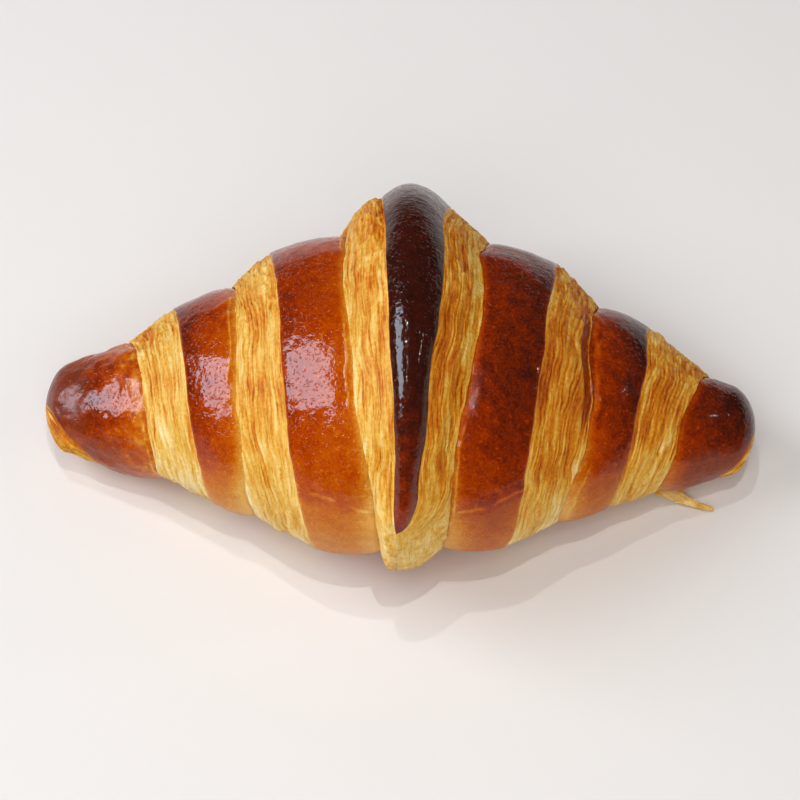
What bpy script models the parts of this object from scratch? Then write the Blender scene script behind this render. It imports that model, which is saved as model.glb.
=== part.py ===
"""A straight butter croissant, in metres, +Z up.

The long axis lies along X. The middle of the rolled dough is X = 0, its front is -Y, and it rests
on a flat spot on its underside at Z = 0, with the centre of its box at X = Y = 0.

The dough is a long triangle rolled up from its wide side, so its two side edges run as spirals
from the point, which ends low on the front of the middle, out to the two horns. A place on the
surface is given by how far round it lies from the point, as a turn angle, and by its distance along
X. At each spiral edge the browned skin ends on a crest, and a pale cut face slopes down from the
crest to its foot, where the skin of the next turn comes out from below.
"""

import bmesh
import bpy
import numpy as np

MM = 0.001

# The whole
LENGTH = 165 * MM
HALF_DEPTH = 46.6 * MM
HALF_HEIGHT = 36.0 * MM
TAPER = 10.5  # share of the girth lost for each metre along the axis
HORN_GIRTH = 0.21  # girth of the horns, as a share of the middle's
TAPER_BLEND = 0.06
HEIGHT_POWER = 0.85  # the horns are rounder in section than the middle
NOSE = 5.6 * MM  # length over which a horn's end rounds off
BACKWARD_BOW = 1.5 * MM  # the middle lies this far behind the horns
SINK_MIDDLE = 4.6 * MM  # how far the round section would reach below the table in the middle
LIFT_HORNS = 2.1 * MM  # how far the horns' undersides stay above the table
FLAT_BLEND = 2.0 * MM  # height over which the flat spot turns into the round side
PEAK_ROUNDING = 6.0 * MM  # keeps the two tapers from meeting in a sharp ridge

# The roll: millimetres, one value for each half turn, counted from the dough's point. The odd
# values lie at the top and the back, and the even ones low on the front.
POINT_ANGLE = -27.0  # degrees above the horizontal, at the front, where the dough's point ends
SKIN_EDGE = {
    -1: (0.2, 6.0, 18.3, 31.8, 41.8, 54.3, 67.0, 81.0, 84.0),
    1: (2.8, 10.8, 23.8, 35.4, 46.8, 59.5, 72.6, 81.5, 84.0),
}
CUT_WIDTH = {
    -1: (2.6, 10.8, 13.3, 8.6, 11.5, 10.2, 14.0, 14.0, 14.0),
    1: (7.2, 9.4, 11.0, 9.6, 11.9, 9.8, 12.0, 14.0, 14.0),
}
# Rise of the crests and of the feet of the cut faces over the smooth taper
CREST_RISE = {
    -1: (1.5, 0.0, 1.7, 0.1, -0.3, -0.2, 0.5, 0.0, 0.0),
    1: (1.5, 0.0, 1.8, 1.0, 0.0, 0.2, 0.8, 0.0, 0.0),
}
FOOT_RISE = {
    -1: (-2.6, -4.8, -1.1, -3.2, -1.1, -2.8, -1.5, -1.0, -1.0),
    1: (-2.0, -4.3, -0.6, -3.0, -1.0, -3.0, -1.5, -1.0, -1.0),
}
TURNS = 4
SKIN_BULGE = 0.8 * MM
CUT_BULGE = 0.4 * MM
TONGUE_START = 41.0  # degrees of turn from the dough's point to the browned skin's rounded end
TONGUE_ROUNDING = 14.0
TONGUE_LEAST = 0.2
TONGUE_SINKS = (250.0, 360.0)  # where the outermost turn passes down under its own point

# Mesh density
ROWS = 60
TONGUE_COLUMNS = 8
CUT_COLUMNS = 3
SKIN_COLUMNS = 3
TIP_MARGIN = 0.4 * MM

# A torn thread of dough that sticks out from under the front, and lies just over the table
FLAKE_PATH = ((50, -4, 5.0), (57, -10, 3.6), (64, -14.5, 2.4), (70, -17, 1.6), (74.5, -18.5, 1.5))
FLAKE_HALF_WIDTHS = (4.0, 3.6, 2.6, 1.0, 0.8)
FLAKE_HALF_THICKNESS = 0.7


def clear_scene():
    for obj in list(bpy.data.objects):
        bpy.data.objects.remove(obj, do_unlink=True)


def half_turns(values, turn):
    """A smooth curve through one value for each half turn, at a turn angle in degrees."""
    last = len(values) - 1
    place = min(max(turn / 180.0, 0.0), last - 1e-6)
    i = int(place)
    t = place - i
    before = values[max(i - 1, 0)]
    start = values[i]
    end = values[i + 1]
    after = values[min(i + 2, last)]
    slope_in = (end - before) / 2
    slope_out = (after - start) / 2
    return (
        (2 * t**3 - 3 * t**2 + 1) * start
        + (t**3 - 2 * t**2 + t) * slope_in
        + (3 * t**2 - 2 * t**3) * end
        + (t**3 - t**2) * slope_out
    )


def smooth_step(low, high, value):
    t = min(max((value - low) / (high - low), 0.0), 1.0)
    return t * t * (3 - 2 * t)


def skin_edge(side, turn):
    """Distance of the skin's edge from the middle. The skin's end on the tongue is rounded."""
    edge = half_turns(SKIN_EDGE[side], turn) * MM
    if turn < 180:
        t = min(max((turn - TONGUE_START) / TONGUE_ROUNDING, 0.0), 1.0)
        edge *= max(np.sqrt(1 - (1 - t) ** 2), TONGUE_LEAST)
    return min(edge, LENGTH / 2)


def cut_foot(side, turn):
    spread = half_turns(SKIN_EDGE[side], turn) + half_turns(CUT_WIDTH[side], turn)
    return min(spread * MM, LENGTH / 2)


def girth(x):
    """Size of the section through the crests, as a share of the middle's."""
    distance = np.hypot(x, PEAK_ROUNDING) - PEAK_ROUNDING / 2
    taper = 1 - TAPER * distance
    return 0.5 * (taper + HORN_GIRTH + np.hypot(taper - HORN_GIRTH, TAPER_BLEND))


def nose(x):
    """Rounds off the horns: 1 over most of the length, and 0 at the tips."""
    past = max((abs(x) - (LENGTH / 2 - NOSE)) / NOSE, 0.0)
    return np.sqrt(max(1 - past**2, 0.0))


def surface_point(x, turn, rise):
    """The point at x, a turn angle round from the dough's point, raised by rise."""
    share = min(abs(x) / (LENGTH / 2), 1.0)
    half_depth = HALF_DEPTH * girth(x)
    half_height = HALF_HEIGHT * girth(x) ** HEIGHT_POWER
    centre_y = BACKWARD_BOW * (1 - share**2)
    centre_z = half_height - SINK_MIDDLE + (SINK_MIDDLE + LIFT_HORNS) * share**2
    angle = np.radians(turn + POINT_ANGLE)
    across = -np.cos(angle)
    up = np.sin(angle)
    length = np.hypot(across / half_depth, up / half_height)
    y = centre_y + (half_depth + rise / half_depth / length) * across * nose(x)
    z = centre_z + (half_height + rise / half_height / length) * up * nose(x)
    return x, y, flattened(z)


def flattened(z):
    """Zero below the table, z well above it, and a smooth bend between."""
    if z < -FLAT_BLEND:
        return 0.0
    if z > FLAT_BLEND:
        return z
    return (z + FLAT_BLEND) ** 2 / (4 * FLAT_BLEND)


def side_stations(side, turn):
    """(key, x, rise) from the tongue's edge out to a horn's tip. A whole key is a crest or foot."""
    stations = []
    for k in range(TURNS):
        here = turn + 360 * k
        beyond = here + 360
        crest = half_turns(CREST_RISE[side], here) * MM
        foot = half_turns(FOOT_RISE[side], here) * MM
        next_crest = half_turns(CREST_RISE[side], beyond) * MM
        spans = (
            (skin_edge(side, here), cut_foot(side, here), crest, foot, CUT_BULGE, CUT_COLUMNS),
            (cut_foot(side, here), skin_edge(side, beyond), foot, next_crest, SKIN_BULGE, SKIN_COLUMNS),
        )
        for part, (start, end, rise_start, rise_end, bulge, columns) in enumerate(spans):
            for i in range(columns):
                t = i / columns
                x = start + (end - start) * t
                if x > LENGTH / 2 - TIP_MARGIN:
                    continue
                rise = rise_start + (rise_end - rise_start) * t + bulge * 4 * t * (1 - t)
                stations.append((side * (1 + 2 * k + part + t), side * x, rise))
    return stations


def buried_rise(x):
    """Rise of the skin that passes under the dough's point, at the end of the first turn."""
    side = -1 if x < 0 else 1
    foot = cut_foot(side, 0)
    crest = skin_edge(side, 360)
    low = half_turns(FOOT_RISE[side], 0) * MM
    high = half_turns(CREST_RISE[side], 360) * MM
    t = min(max((abs(x) - foot) / (crest - foot), 0.0), 1.0)
    return low + (high - low) * t + SKIN_BULGE * 4 * t * (1 - t)


def tongue_stations(turn):
    """The browned skin of the outermost turn, between its two edges."""
    left = -skin_edge(-1, turn)
    right = skin_edge(1, turn)
    sunk = smooth_step(*TONGUE_SINKS, turn)
    stations = []
    for i in range(1, TONGUE_COLUMNS):
        key = 2 * i / TONGUE_COLUMNS - 1
        x = left + (right - left) * (key + 1) / 2
        crest = half_turns(CREST_RISE[1 if key > 0 else -1], turn) * MM
        rise = crest + SKIN_BULGE * (1 - key**2)
        stations.append((key, x, rise + (buried_rise(x) - rise) * sunk))
    return stations


def row_stations(turn):
    stations = side_stations(-1, turn) + tongue_stations(turn) + side_stations(1, turn)
    return sorted(stations)


def stitch(mesh, row, next_row):
    """Fills the strip between two rows of (key, vertex), matching them by their keys."""
    i = j = 0
    while i < len(row) - 1 or j < len(next_row) - 1:
        key_i = row[i + 1][0] if i < len(row) - 1 else np.inf
        key_j = next_row[j + 1][0] if j < len(next_row) - 1 else np.inf
        step_i = key_i <= key_j + 1e-6
        step_j = key_j <= key_i + 1e-6
        corners = [row[i][1], next_row[j][1]]
        if step_j:
            j += 1
            corners.append(next_row[j][1])
        if step_i:
            i += 1
            corners.append(row[i][1])
        if len(set(corners)) > 2:
            mesh.faces.new(list(dict.fromkeys(corners)))


def rolled_dough():
    """The closed surface, row by row round the roll, from the dough's point to below it."""
    mesh = bmesh.new()
    tips = {side: mesh.verts.new(surface_point(side * LENGTH / 2, 0, 0)) for side in (-1, 1)}
    start = (-np.inf, tips[-1])
    end = (np.inf, tips[1])
    rows = []
    for i in range(ROWS):
        turn = 360 * i / ROWS
        row = [start]
        for key, x, rise in row_stations(turn):
            row.append((key, mesh.verts.new(surface_point(x, turn, rise))))
        rows.append(row + [end])
    for row, next_row in zip(rows, rows[1:]):
        stitch(mesh, row, next_row)

    # The last row meets the first one a turn further in. The dough's point stands on the skin.
    below = []
    step = []
    for (key, vertex), (_, x, _) in zip(rows[0][1:-1], row_stations(0)):
        if abs(key) < 2:
            vertex_below = mesh.verts.new(surface_point(x, 0, buried_rise(x)))
            step.append((key, vertex_below))
            below.append((key, vertex_below))
            continue
        below.append((key, vertex))
        if abs(key) == 2:
            step.append((key, vertex))
    last = [(key * 3 if abs(key) <= 1 else key + 2 * np.sign(key), v) for key, v in rows[-1]]
    stitch(mesh, last, [start] + below + [end])
    stitch(mesh, step, [pair for pair in rows[0] if abs(pair[0]) <= 2])
    bmesh.ops.recalc_face_normals(mesh, faces=mesh.faces)
    bmesh.ops.triangulate(mesh, faces=mesh.faces)
    return mesh


def flake_mesh():
    """A flat, tapering thread of dough, as a box section swept along its path."""
    mesh = bmesh.new()
    path = np.array(FLAKE_PATH, float) * MM
    rings = []
    for i, (centre, half_width) in enumerate(zip(path, FLAKE_HALF_WIDTHS)):
        along = path[min(i + 1, len(path) - 1)] - path[max(i - 1, 0)]
        across = np.cross(along, (0, 0, 1))
        across *= half_width * MM / np.linalg.norm(across)
        up = np.array((0, 0, FLAKE_HALF_THICKNESS * MM))
        corners = (across + up, up - across, -across - up, across - up)
        rings.append([mesh.verts.new(centre + corner) for corner in corners])
    for ring, next_ring in zip(rings, rings[1:]):
        for k in range(4):
            m = (k + 1) % 4
            mesh.faces.new((ring[k], ring[m], next_ring[m], next_ring[k]))
    mesh.faces.new(rings[0])
    mesh.faces.new(rings[-1])
    bmesh.ops.recalc_face_normals(mesh, faces=mesh.faces)
    return mesh


def add_object(name, mesh):
    data = bpy.data.meshes.new(name)
    mesh.to_mesh(data)
    mesh.free()
    obj = bpy.data.objects.new(name, data)
    bpy.context.scene.collection.objects.link(obj)
    return obj


def baked_crust():
    material = bpy.data.materials.new("baked_crust")
    material.use_nodes = True
    shader = material.node_tree.nodes["Principled BSDF"]
    shader.inputs["Base Color"].default_value = (0.36, 0.12, 0.02, 1)
    shader.inputs["Roughness"].default_value = 0.4
    shader.inputs["Metallic"].default_value = 0.0
    material.diffuse_color = (0.36, 0.12, 0.02, 1)
    return material


def stand_on_origin(obj):
    """Moves the mesh so that its box is centred on X and Y, and stands on Z = 0."""
    points = np.array([vertex.co for vertex in obj.data.vertices])
    low = points.min(axis=0)
    high = points.max(axis=0)
    shift = np.array(((low[0] + high[0]) / 2, (low[1] + high[1]) / 2, low[2]))
    for vertex in obj.data.vertices:
        vertex.co = vertex.co[0] - shift[0], vertex.co[1] - shift[1], vertex.co[2] - shift[2]
    return shift


def main():
    clear_scene()
    croissant = add_object("croissant", rolled_dough())
    shift = stand_on_origin(croissant)
    croissant.data.materials.append(baked_crust())

    flake = add_object("flake_to_join", flake_mesh())
    flake.location = -shift
    flake.hide_render = True
    flake.display_type = "WIRE"
    join = croissant.modifiers.new("join_flake", "BOOLEAN")
    join.operation = "UNION"
    join.solver = "EXACT"
    join.object = flake

    croissant.data.shade_smooth()


main()
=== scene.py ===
"""Looks of the croissant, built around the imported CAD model.

The dough is a long triangle rolled up from its wide side. Its surface is made here of thick turns
of that roll: the tongue, which is the last turn and carries the dough's point, and three turns for
each horn. A place on a turn is given by its turn angle, in degrees from the dough's point, and by
its distance along X. Side -1 is the left, and side 1 is the right. Each turn runs from under its
neighbour out over the browned skin to the skin's edge, and down the pale cut layers to their foot.
Sizes are in millimetres until a piece's mesh is made.
"""

import math

import bpy
import numpy as np
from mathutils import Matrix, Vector


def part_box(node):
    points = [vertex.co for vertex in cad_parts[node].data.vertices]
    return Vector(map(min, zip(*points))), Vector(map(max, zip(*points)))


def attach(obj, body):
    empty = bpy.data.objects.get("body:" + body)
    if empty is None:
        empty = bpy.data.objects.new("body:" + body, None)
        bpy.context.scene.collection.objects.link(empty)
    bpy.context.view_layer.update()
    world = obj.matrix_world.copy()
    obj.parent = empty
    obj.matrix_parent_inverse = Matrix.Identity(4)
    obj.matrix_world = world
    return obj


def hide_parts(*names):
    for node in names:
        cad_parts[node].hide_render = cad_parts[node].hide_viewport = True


MM = 0.001

# ---------------- the smooth shape
# As in the CAD, with a few edges and rises a little closer to the real ones
LENGTH = 165.0
HALF = LENGTH / 2
HALF_DEPTH = 46.6
HALF_HEIGHT = 36.0
TAPER = 0.0105  # share of the girth lost for each millimetre along the axis
HORN_GIRTH = 0.21  # girth of the horns, as a share of the middle's
TAPER_BLEND = 0.06
HEIGHT_POWER = 0.85  # the horns are rounder in section than the middle
NOSE = 5.6  # length over which a horn's end rounds off
BACKWARD_BOW = 1.5  # the middle lies this far behind the horns
SINK_MIDDLE = 4.6  # how far the round section would reach below the table in the middle
LIFT_HORNS = 2.1  # how far the horns' undersides stay above the table
FLAT_BLEND = 2.0  # height over which the flat spot turns into the round side
PEAK_ROUNDING = 6.0  # keeps the two tapers from meeting in a sharp ridge
DEEPEST = 0.6  # share of the half height that a place is sunk by at most
POINT_ANGLE = -27.0  # degrees above the horizontal, at the front, where the dough's point ends

# One value for each half turn from the dough's point: low on the front, then at the back
SKIN_EDGE = {
    -1: (-0.3, 6.0, 18.3, 31.8, 41.8, 54.3, 67.0, 88.0, 90.0),
    1: (3.0, 9.8, 23.8, 35.4, 46.8, 59.5, 72.6, 87.0, 90.0),
}
CUT_WIDTH = {
    -1: (3.1, 9.4, 13.3, 8.6, 11.5, 10.2, 14.0, 14.0, 14.0),
    1: (7.0, 9.0, 11.0, 9.6, 11.9, 9.8, 12.0, 14.0, 14.0),
}
CREST_RISE = {
    -1: (1.5, 0.0, 1.7, 0.1, -0.3, -0.2, 0.5, -1.3, -0.5),
    1: (1.5, 0.0, 1.8, 1.0, 0.0, 0.2, 0.6, -2.6, -0.5),
}
FOOT_RISE = {
    -1: (-2.6, -5.8, -1.1, -3.2, -1.1, -2.8, -1.5, -1.0, -1.0),
    1: (-2.0, -4.3, -0.6, -3.0, -1.0, -3.0, -1.5, -1.0, -1.0),
}
SKIN_BULGE = 0.8
CUT_BULGE = 0.4
TONGUE_START = 41.0  # degrees of turn from the dough's point to the browned skin's rounded end
TONGUE_ROUNDING = 14.0
TONGUE_SINKS = (250.0, 360.0)  # where the outermost turn passes down under its own point


def half_turns(values, turn):
    """A smooth curve through one value for each half turn."""
    values = np.asarray(values, float)
    last = len(values) - 1
    place = np.clip(np.asarray(turn, float) / 180.0, 0.0, last - 1e-6)
    i = np.floor(place).astype(int)
    t = place - i
    before = values[np.maximum(i - 1, 0)]
    start = values[i]
    end = values[i + 1]
    after = values[np.minimum(i + 2, last)]
    slope_in = (end - before) / 2
    slope_out = (after - start) / 2
    return (
        (2 * t**3 - 3 * t**2 + 1) * start
        + (t**3 - 2 * t**2 + t) * slope_in
        + (3 * t**2 - 2 * t**3) * end
        + (t**3 - t**2) * slope_out
    )


def smooth_step(low, high, value):
    t = np.clip((value - low) / (high - low), 0.0, 1.0)
    return t * t * (3 - 2 * t)


def girth(x):
    """Size of the section through the crests, as a share of the middle's."""
    distance = np.hypot(x, PEAK_ROUNDING) - PEAK_ROUNDING / 2
    taper = 1 - TAPER * distance
    return 0.5 * (taper + HORN_GIRTH + np.hypot(taper - HORN_GIRTH, TAPER_BLEND))


def nose(x):
    """Rounds off the horns: 1 over most of the length, and 0 at the tips."""
    past = np.clip((np.abs(x) - (HALF - NOSE)) / NOSE, 0.0, 1.0)
    return np.sqrt(1 - past**2)


def flattened(z):
    """Zero below the table, z well above it, and a smooth bend between."""
    bend = (z + FLAT_BLEND) ** 2 / (4 * FLAT_BLEND)
    return np.where(z < -FLAT_BLEND, 0.0, np.where(z > FLAT_BLEND, z, bend))


def surface(x, turn, rise):
    """Points at x, a turn angle round from the dough's point, raised by rise."""
    share = np.minimum(np.abs(x) / HALF, 1.0)
    half_depth = HALF_DEPTH * girth(x)
    half_height = HALF_HEIGHT * girth(x) ** HEIGHT_POWER
    rise = np.maximum(rise, -DEEPEST * half_height)
    centre_y = BACKWARD_BOW * (1 - share**2)
    centre_z = half_height - SINK_MIDDLE + (SINK_MIDDLE + LIFT_HORNS) * share**2
    angle = np.radians(turn + POINT_ANGLE)
    across = -np.cos(angle)
    up = np.sin(angle)
    length = np.hypot(across / half_depth, up / half_height)
    y = centre_y + (half_depth + rise / half_depth / length) * across * nose(x)
    z = centre_z + (half_height + rise / half_height / length) * up * nose(x)
    return np.stack([x, y, flattened(z)], axis=-1)


# ---------------- noise
# Below, a place is divided by the size of the noise's grain, and the number after it is the seed
def hashed(cells, seed):
    """A repeatable number from -1 to 1 for each whole-number cell."""
    h = np.full(cells.shape[:-1] or 1, seed * 7919 + 17, np.uint64)
    for k in range(cells.shape[-1]):
        h = (h ^ (cells[..., k].astype(np.int64).astype(np.uint64))) * np.uint64(0x9E3779B97F4A7C15)
        h ^= h >> np.uint64(29)
    h = (h ^ (h >> np.uint64(32))) * np.uint64(0xD6E8FEB86659FD93)
    return (((h >> np.uint64(40)).astype(float) / 2**24) * 2 - 1).reshape(cells.shape[:-1])


def noise(points, seed):
    """Smooth noise from about -1 to 1 at points of 1, 2 or 3 coordinates."""
    points = np.asarray(points, float)
    cells = np.floor(points).astype(np.int64)
    t = points - cells
    t = t * t * (3 - 2 * t)
    total = np.zeros(points.shape[:-1])
    for corner in np.ndindex(*(2,) * points.shape[-1]):
        weight = np.prod(np.where(corner, t, 1 - t), axis=-1)
        total += weight * hashed(cells + np.array(corner), seed)
    return total


def rough_noise(points, seed, octaves=3):
    """Noise with finer and weaker copies of itself added."""
    total = 0.0
    for k in range(octaves):
        total = total + noise(np.asarray(points) * 2.03**k, seed + 31 * k) / 2**k
    return total


def stacked(*coordinates):
    return np.stack(np.broadcast_arrays(*coordinates), axis=-1)


# ---------------- the roll
MEAN_RADIUS = (41.0, 33.0, 22.0, 12.0)  # of each full turn, for lengths along the roll
EDGE_WAVE = 0.35
FOOT_WAVE = 0.3
WAVE_STARTS = (40.0, 70.0)  # turns over which the tongue's edge begins to wave
SKIN_TIP_GAP = 0.0008  # how far from the horn's tip the skin ends
CUT_TIP_GAP = 0.0004

# Local changes to the smooth curves: first turn, last turn, softness, millimetres
SKIN_WIDER = {
    -1: ((60.0, 88.0, 15.0, -1.3), (1105.0, 1230.0, 30.0, 3.2)),
    1: (
        (60.0, 88.0, 15.0, 0.7),
        (104.0, 143.0, 14.0, 1.7),
        (856.0, 920.0, 25.0, -2.2),
        (1105.0, 1230.0, 30.0, 3.2),
    ),
}
CUT_WIDER = {
    -1: ((70.0, 150.0, 20.0, 2.0),),
    1: (
        (86.0, 118.0, 16.0, 1.4),
        (112.0, 143.0, 10.0, 1.9),
        (415.0, 465.0, 16.0, 2.2),
        (826.0, 925.0, 22.0, 2.1),
    ),
}
CUT_FULLER = {-1: ((135.0, 240.0, 30.0, 2.2),), 1: ()}
CUT_KNOBBLY = ((1080.0, 1290.0, 30.0, 0.8),)
FOOT_HIGHER = {-1: ((60.0, 118.0, 20.0, 1.9), (690.0, 735.0, 22.0, -1.8)), 1: ()}
LIP = {-1: 0.45, 1: 0.4}  # how far the first cut layer lies below the skin's edge
LIP_DEEPER = {-1: ((95.0, 210.0, 25.0, 0.5),), 1: ((60.0, 240.0, 20.0, 0.3),)}

# How a skin rises from its neighbour's foot to its own edge
RISE_POWER = 0.9
UNDERLAP = 2.2  # how far it goes on under its neighbour
UNDERLAP_SLOPE = 0.45  # how fast it sinks there
FOOT_GROOVE = 0.25
FOOT_GROOVE_WIDTH = 0.9
EDGE_ROUNDING = 0.12
EDGE_ROUNDING_WIDTH = 0.5
LEAF_RISE = 0.20
LEAF_LINE_WIDTH = 0.22
TONGUE_DOME = 1.7  # height of the tongue's middle over its sides
TONGUE_DOME_POWER = 2.4
TONGUE_SIDES = 1.1  # how far its sides lie below the crest's line
# Creases in the skin: side, turn at the neighbour's foot, slant down for each mm outwards, reach
CREASES = (
    (-1, 868.0, 0.6, 6.5),
    (-1, 856.0, 0.4, 4.0),
    (1, 872.0, 1.4, 6.0),
    (1, 862.0, 0.8, 3.5),
    (1, 1225.0, 1.6, 3.0),
)
CREASE_WIDTH = 0.55
CREASE_RISE = 0.26

# The cut layers. A wave is how far it moves them, its size across and along the roll, and its seed
LAYER_PITCH = 0.95
LAYER_WAVES = ((1.1, 5.0, 20.0, 41), (0.45, 1.8, 6.0, 40), (0.14, 0.9, 2.4, 39))
SIDES_APART = 400.0  # keeps the noise of the two sides apart
SHEET_HEIGHT = 0.36
STREAK_HEIGHT = 0.10
GRAIN_HEIGHT = 0.06
SWELL_HEIGHT = 0.30
TORN_HEIGHT = 0.08
SPLIT_DEPTH = 0.35
TORN_BACK = ((92.0, 195.0, 12.0, 4.0),)  # first angle, last angle, softness, how much more torn
LEAF_WIDTH = {-1: 2.1, 1: 3.0}  # of the thin leaf along the foot of the tongue's layers
FOOT_LEAF = (66.0, 158.0, 12.0)
GLAZED = (440.0, 505.0, 14.0)  # where the egg wash has run over the second cut's foot
FLAP_ENDS = (22.0, 62.0)  # turns over which the torn flap turns into the layers
FLAP_STEEPER = {-1: 5.0, 1: 1.2}
FLAP_TORN = 1.8  # degrees by which the torn end of the flap comes and goes
TUCK = ((0.1, 0.1), (0.5, -0.25), (1.4, -0.5), (2.4, -0.9))  # in from the foot, and rise over it
WALL = 6.0  # thickness of a turn
NARROW_CUT = 3.0  # a cut narrower than this has less relief
LIP_GAP = 0.1  # from the skin's edge to the first cut layer
FOOT_LIP = 0.15  # how far the cut's foot stands over its neighbour's skin
FLAP_SLANT = 0.25  # how much further the torn end comes back for each mm to the right
FLAP_TORN_ENDS = (4.0, 30.0)
TUCK_SHADE = -0.3  # paints the tuck under the foot darker: painted shade under the overhanging foot
WALL_ACROSS = 9.0  # the place across the cut whose look the hidden wall has
LEAST_SKIN = 0.01
ARM_PARTS = (375.0, 385.0)  # turns over which the two sides part, under the tongue
CALM_TIP = 3.0  # length at the horn's tip over which the skin's relief dies down
LEFT_REACH = 1.2  # how much further the left tip reaches than the smooth shape
LEFT_REACH_FROM = 0.72  # share of the half length from which it does
FAINTER_LOW = 0.40  # how much fainter the cut's streaks are low on the front
ENDS_CLOSER = 0.75  # how much closer together the skin's columns lie near its edges

SKIN, CUT, HIDDEN = 0, 1, 2
BELOW = 270.0 - POINT_ANGLE  # the first turn that faces straight down
SECOND_SKIN = 720.0  # turns from which the second skins and the horns' skins show
HORN_SKIN = 1020.0
TONGUE_LAST = 300.0
TONGUE_ROW = 0.42  # millimetres a row
TONGUE_COLUMNS = (54, 64, 60)  # left cut, skin, right cut
# name, first turn, last turn, millimetres a row, columns of skin, columns of cut
ARMS = (
    ("turn_1", BELOW, BELOW + 360, 0.42, 74, 66),
    ("turn_2", BELOW + 360, BELOW + 720, 0.42, 56, 64),
    ("turn_3", BELOW + 720, 1440.0, 0.42, 56, 56),
)


def along(turn):
    """Length along the roll from the dough's point."""
    total = np.zeros_like(np.asarray(turn, float))
    for k, radius in enumerate(MEAN_RADIUS):
        total += np.radians(np.clip(turn - 360 * k, 0, 360)) * radius
    return total + np.radians(np.minimum(turn, 0)) * MEAN_RADIUS[0]


def along_side(side, turn):
    """Length along the roll, with the two sides far apart."""
    return along(turn) + SIDES_APART * (side + 1)


def facing(turn):
    """Angle round the section, from -90: 0 in front, 90 on top, 180 at the back, 270 below."""
    return np.mod(turn + POINT_ANGLE + 90, 360) - 90


def underside(turn):
    """1 well under the croissant, and 0 from the lower front over the top to the lower back."""
    angle = facing(turn)
    return np.maximum(1 - smooth_step(-26, -12, angle), smooth_step(192, 206, angle))


def hill(value, low, high, soft):
    """1 between low and high, and 0 away from them."""
    rising = smooth_step(low - soft, low + soft, value)
    return rising * (1 - smooth_step(high - soft, high + soft, value))


def local_change(changes, value):
    """What local changes add up to at a turn or an angle."""
    return sum(more * hill(value, low, high, soft) for low, high, soft, more in changes)


def skin_edge(side, turn):
    """Distance of the browned skin's edge from the middle."""
    wave = rough_noise(stacked(along(turn) / 11.0), 11 + side, 4) * EDGE_WAVE
    edge = half_turns(SKIN_EDGE[side], turn) + wave * smooth_step(*WAVE_STARTS, turn)
    edge = edge + local_change(SKIN_WIDER[side], turn)
    t = np.clip((turn - TONGUE_START) / TONGUE_ROUNDING, 0.0, 1.0)
    return np.minimum(edge * np.sqrt(1 - (1 - t) ** 2), HALF - SKIN_TIP_GAP)


def cut_foot(side, turn):
    """Distance of the cut layers' foot from the middle."""
    wave = rough_noise(stacked(along(turn) / 9.0), 23 + side, 4) * FOOT_WAVE
    foot = half_turns(SKIN_EDGE[side], turn) + half_turns(CUT_WIDTH[side], turn)
    foot = foot + local_change(CUT_WIDER[side], turn)
    return np.minimum(foot + wave, HALF - CUT_TIP_GAP)


def cut_width(side, turn):
    """Distance along X from the skin's edge to the cut layers' foot."""
    return np.maximum(cut_foot(side, turn) - skin_edge(side, turn), 0.0)


def foot_rise(side, turn):
    """Rise of the cut layers' foot over the smooth taper."""
    return half_turns(FOOT_RISE[side], turn) + local_change(FOOT_HIGHER[side], turn)


def tongue_share(turn):
    """0 on the torn flap below the tongue, and 1 where the tongue has its browned skin."""
    return smooth_step(TONGUE_START - 2, TONGUE_START + 12, turn)


def crease(side, turn, inwards):
    """1 on the few creases that run out from the neighbour's foot over the top of a skin."""
    total = np.zeros(np.broadcast_shapes(np.shape(turn), np.shape(inwards)))
    for where, start, lean, reach in CREASES:
        off = along(turn) - along(np.array(start)) + lean * inwards
        share = smooth_step(reach, 0.4 * reach, inwards)
        total = total + (where == side) * np.exp(-((off / CREASE_WIDTH) ** 2)) * share
    return total


def leaf_line(side, turn, inwards):
    """1 on the edge of the thinnest leaf at the neighbour's foot, which lies on the skin."""
    s = along(turn)
    place = 1.4 + 0.7 * noise(stacked(s / 14.0), 77 + side) + 0.25 * noise(stacked(s / 2.5), 78)
    place = place + 1.2 * (side > 0) * (turn > SECOND_SKIN)
    there = smooth_step(0.12, 0.3, noise(stacked(s / 13.0), 80 + side)) * (turn > 360)
    line = np.exp(-(((inwards - place) / LEAF_LINE_WIDTH) ** 2))
    return line * there * (1 - underside(turn))


def tongue_rise(side, turn, x):
    """Rise of the tongue's skin, which is domed from side to side."""
    left = skin_edge(-1, turn)
    right = skin_edge(1, turn)
    across = (side * x - (right - left) / 2) / np.maximum((right + left) / 2, 0.1)
    share = tongue_share(turn)
    sides = half_turns(CREST_RISE[side], turn) - TONGUE_SIDES * share
    return sides + TONGUE_DOME * share * (1 - np.abs(np.clip(across, -1, 1)) ** TONGUE_DOME_POWER)


def skin_rise(side, turn, x):
    """Rise of the skin at a distance x on one side. After the first turn it dips under the tongue."""
    crest = half_turns(CREST_RISE[side], turn)
    edge = skin_edge(side, turn)
    inner_foot = np.where(turn < 360, cut_foot(side, 0.0), cut_foot(side, turn - 360))
    valley = foot_rise(side, np.maximum(turn - 360, 0.0))
    covered = turn >= 360
    inwards = np.maximum(x - inner_foot, 0)
    share = np.clip((x - inner_foot) / np.maximum(edge - inner_foot, 0.1), 0, 1)
    rolled = valley + (crest - valley) * share**RISE_POWER + SKIN_BULGE * 4 * share * (1 - share)
    rolled += UNDERLAP_SLOPE * np.minimum(x - inner_foot, 0.0) * covered
    rolled -= FOOT_GROOVE * np.exp(-inwards / FOOT_GROOVE_WIDTH) * covered
    rolled -= EDGE_ROUNDING * np.clip(1 + (x - edge) / EDGE_ROUNDING_WIDTH, 0, 1) ** 2
    rolled += LEAF_RISE * leaf_line(side, turn, inwards) * covered
    rolled += CREASE_RISE * crease(side, turn, inwards)
    domed = tongue_rise(side, turn, x)
    return domed + (rolled - domed) * smooth_step(*TONGUE_SINKS, turn)


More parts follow.
